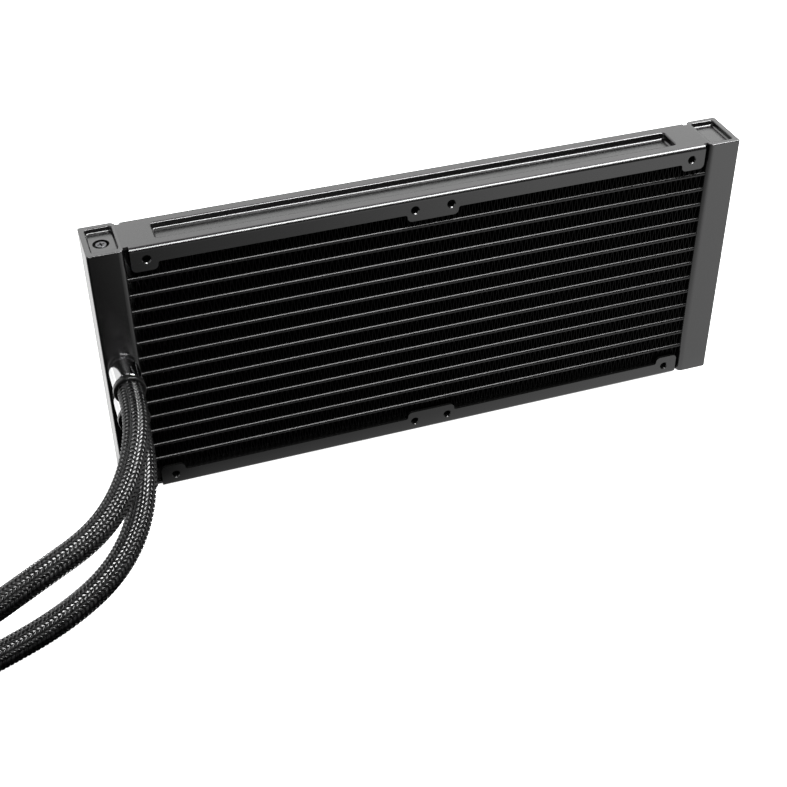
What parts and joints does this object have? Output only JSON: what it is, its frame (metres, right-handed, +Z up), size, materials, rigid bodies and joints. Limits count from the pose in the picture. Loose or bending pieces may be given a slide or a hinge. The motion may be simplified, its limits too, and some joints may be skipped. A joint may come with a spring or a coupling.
{
  "type": "liquid cooling radiator",
  "caption": "Slim double-fan liquid cooling radiator with end tanks, flat tubes, corrugated fins, screw rails and two braided hoses with crimped fittings.",
  "frame": {"origin": "middle of the radiator's underside, standing on its long edge", "axes": "+X along the radiator away from the hoses, -Y out of the face that the hoses leave from, +Z up"},
  "size_m": [0.4696, 0.1692, 0.1155],
  "materials": {
    "tank_paint": "satin black powder coat on aluminium",
    "rail_paint": "satin black powder coat on aluminium",
    "core_plate_paint": "matt black paint on aluminium",
    "tube_paint": "satin black paint on aluminium",
    "fin_paint": "matt black paint on aluminium",
    "bare_aluminium": "bare, brazed",
    "spigot_metal": "bright plated",
    "ferrule_metal": "polished",
    "ring_black": "black, slight gloss",
    "hose_rubber": "matt black",
    "braid": "black braided monofilament, satin",
    "elbow_plastic": "moulded, fine matt",
    "seal_rubber": "smooth",
    "plug_metal": "black zinc plated screw",
    "plug_seal_rubber": "smooth"
  },
  "bodies": {
    "radiator": {"inlet_tank_cover": "tank_paint", "return_tank_cover": "tank_paint", "inlet_header_tray": "tank_paint", "return_header_tray": "tank_paint", "inlet_tank_top_cap": "tank_paint", "inlet_tank_bottom_cap": "tank_paint", "return_tank_caps": "tank_paint", "inlet_tank_baffle": "bare_aluminium", "flat_tube_01": "tube_paint", "flat_tube_02": "tube_paint", "flat_tube_03": "tube_paint", "flat_tube_04": "tube_paint", "flat_tube_05": "tube_paint", "flat_tube_06": "tube_paint", "flat_tube_07": "tube_paint", "flat_tube_08": "tube_paint", "flat_tube_09": "tube_paint", "flat_tube_10": "tube_paint", "flat_tube_11": "tube_paint", "flat_tube_12": "tube_paint", "flat_tube_13": "tube_paint", "fin_strip_01": "fin_paint", "fin_strip_02": "fin_paint", "fin_strip_03": "fin_paint", "fin_strip_04": "fin_paint", "fin_strip_05": "fin_paint", "fin_strip_06": "fin_paint", "fin_strip_07": "fin_paint", "fin_strip_08": "fin_paint", "fin_strip_09": "fin_paint", "fin_strip_10": "fin_paint", "fin_strip_11": "fin_paint", "fin_strip_12": "fin_paint", "fin_strip_13": "fin_paint", "fin_strip_14": "fin_paint", "top_rail": "rail_paint", "bottom_rail": "rail_paint", "top_side_plate": "core_plate_paint", "bottom_side_plate": "core_plate_paint", "upper_spigot": "spigot_metal", "upper_tank_ferrule": "ferrule_metal", "upper_tank_ring": "ring_black", "upper_hose_tube": "hose_rubber", "upper_hose_sleeve": "braid", "upper_pump_ring": "ring_black", "upper_pump_ferrule": "ferrule_metal", "upper_elbow": "elbow_plastic", "upper_elbow_seals": "seal_rubber", "lower_spigot": "spigot_metal", "lower_tank_ferrule": "ferrule_metal", "lower_tank_ring": "ring_black", "lower_hose_tube": "hose_rubber", "lower_hose_sleeve": "braid", "lower_pump_ring": "ring_black", "lower_pump_ferrule": "ferrule_metal", "lower_elbow": "elbow_plastic", "lower_elbow_seals": "seal_rubber"},
    "plug_seal": {"fill_plug_seal": "plug_seal_rubber"},
    "plug": {"fill_plug": "plug_metal"}
  },
  "joints": [
    {"name": "plug_rise", "type": "slide", "parent": "radiator", "child": "plug_seal", "axis": [0, 0, 1], "range_m": [0, 0.004]},
    {"name": "plug_turn", "type": "hinge", "parent": "plug_seal", "child": "plug", "pos_m": [-0.12715, 0, 0.1126], "axis": [0, 0, 1], "range_deg": [0, 2880]}
  ],
  "couplings": [
    {"joint": "plug_turn", "follows": "plug_rise", "rad_per_m": 12566}
  ]
}
